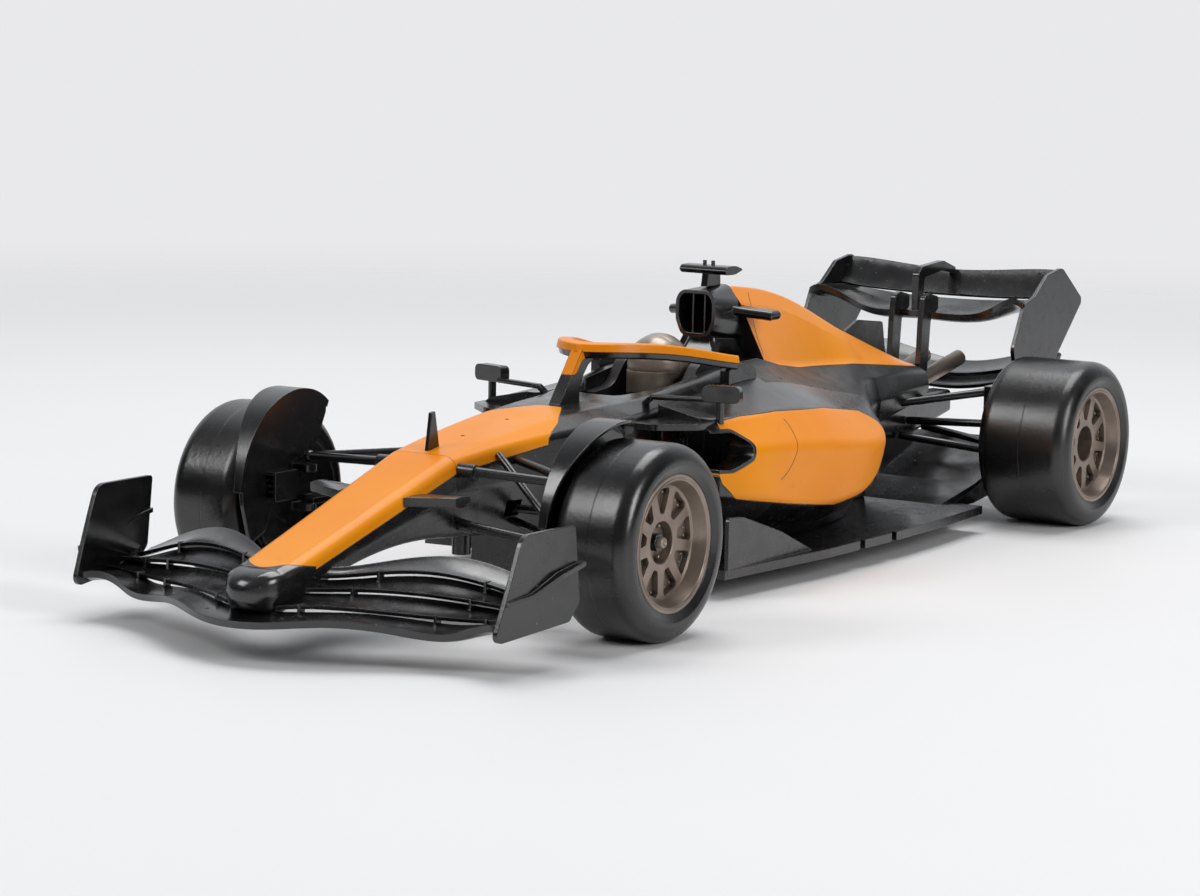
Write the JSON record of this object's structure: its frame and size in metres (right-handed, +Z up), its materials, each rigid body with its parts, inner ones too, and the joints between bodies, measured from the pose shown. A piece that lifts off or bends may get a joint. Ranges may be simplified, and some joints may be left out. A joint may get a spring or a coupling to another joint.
{
  "type": "scale model open wheel racing car",
  "caption": "Moulded scale model of a single seat open wheel racing car, orange over black, with front and rear wings, a halo, free turning wheels and linked front steering.",
  "frame": {"origin": "on the ground under the tyres, at the middle of the car's overall length and width", "axes": "+Z up, the nose points along -Y, +X is the car's left side"},
  "size_m": [0.1134, 0.3103, 0.0669],
  "materials": {
    "orange_paint": "satin orange lacquer on moulded plastic",
    "black_plastic": "satin black moulded plastic, slightly brown where it is rubbed",
    "dark_plastic": "dark grey moulded plastic",
    "tyre_rubber": "smooth black soft plastic tyre with a fine mould line",
    "bronze_paint": "dark bronze metallic paint",
    "lamp_lens": "dark red moulded lens"
  },
  "bodies": {
    "chassis": {"airbox": "black_plastic", "antenna_fin": "black_plastic", "beam_wing": "black_plastic", "cockpit_surround": "black_plastic", "diffuser_fins": "black_plastic", "engine_cover_lower": "black_plastic", "engine_cover_spine": "orange_paint", "exhaust_pipes": "bronze_paint", "floor": "black_plastic", "front_endplates": "black_plastic", "front_links": "black_plastic", "front_wing_flaps": "black_plastic", "front_wing_main": "black_plastic", "gearbox": "black_plastic", "halo_cap": "orange_paint", "halo_frame": "black_plastic", "headrest": "dark_plastic", "helmet": "bronze_paint", "inlet_shelves": "black_plastic", "mirrors": "black_plastic", "nose_shell": "black_plastic", "nose_top_panel": "orange_paint", "nose_winglets": "black_plastic", "rain_light": "lamp_lens", "rear_endplates": "black_plastic", "rear_links": "black_plastic", "rear_uprights": "black_plastic", "rear_wing_arm": "black_plastic", "rear_wing_flap": "black_plastic", "rear_wing_main": "black_plastic", "rear_wing_pylons": "black_plastic", "roll_hoop_camera": "black_plastic", "shark_fin": "black_plastic", "side_panels": "orange_paint", "sidepods": "black_plastic", "steering_wheel": "dark_plastic", "tub_shell": "black_plastic", "tub_top_panel": "orange_paint"},
    "front_knuckle_left": {"front_knuckle_left": "black_plastic", "wheel_deflector_left": "black_plastic"},
    "front_wheel_left": {"front_tyre_left": "tyre_rubber", "front_rim_left": "bronze_paint"},
    "rear_wheel_left": {"rear_tyre_left": "tyre_rubber", "rear_rim_left": "bronze_paint"},
    "front_knuckle_right": {"front_knuckle_right": "black_plastic", "wheel_deflector_right": "black_plastic"},
    "front_wheel_right": {"front_tyre_right": "tyre_rubber", "front_rim_right": "bronze_paint"},
    "rear_wheel_right": {"rear_tyre_right": "tyre_rubber", "rear_rim_right": "bronze_paint"},
    "tie_rod": {"tie_rod": "black_plastic"}
  },
  "joints": [
    {"name": "steer_left", "type": "hinge", "parent": "chassis", "child": "front_knuckle_left", "pos_m": [0.0346, -0.084, 0.02], "axis": [0, 0, 1], "range_deg": [-20, 20]},
    {"name": "front_spin_left", "type": "hinge", "parent": "front_knuckle_left", "child": "front_wheel_left", "pos_m": [0.048, -0.084, 0.02], "axis": [1, 0, 0], "continuous": true},
    {"name": "rear_spin_left", "type": "hinge", "parent": "chassis", "child": "rear_wheel_left", "pos_m": [0.044, 0.114, 0.02], "axis": [1, 0, 0], "continuous": true},
    {"name": "steer_right", "type": "hinge", "parent": "chassis", "child": "front_knuckle_right", "pos_m": [-0.0346, -0.084, 0.02], "axis": [0, 0, 1], "range_deg": [-20, 20]},
    {"name": "front_spin_right", "type": "hinge", "parent": "front_knuckle_right", "child": "front_wheel_right", "pos_m": [-0.048, -0.084, 0.02], "axis": [1, 0, 0], "continuous": true},
    {"name": "rear_spin_right", "type": "hinge", "parent": "chassis", "child": "rear_wheel_right", "pos_m": [-0.044, 0.114, 0.02], "axis": [1, 0, 0], "continuous": true},
    {"name": "tie_rod_swing", "type": "hinge", "parent": "front_knuckle_left", "child": "tie_rod", "pos_m": [0.0346, -0.073, 0.0215], "axis": [0, 0, 1], "range_deg": [-20, 20]}
  ],
  "couplings": [
    {"joint": "steer_right", "follows": "steer_left", "ratio": 1},
    {"joint": "tie_rod_swing", "follows": "steer_left", "ratio": -1}
  ]
}
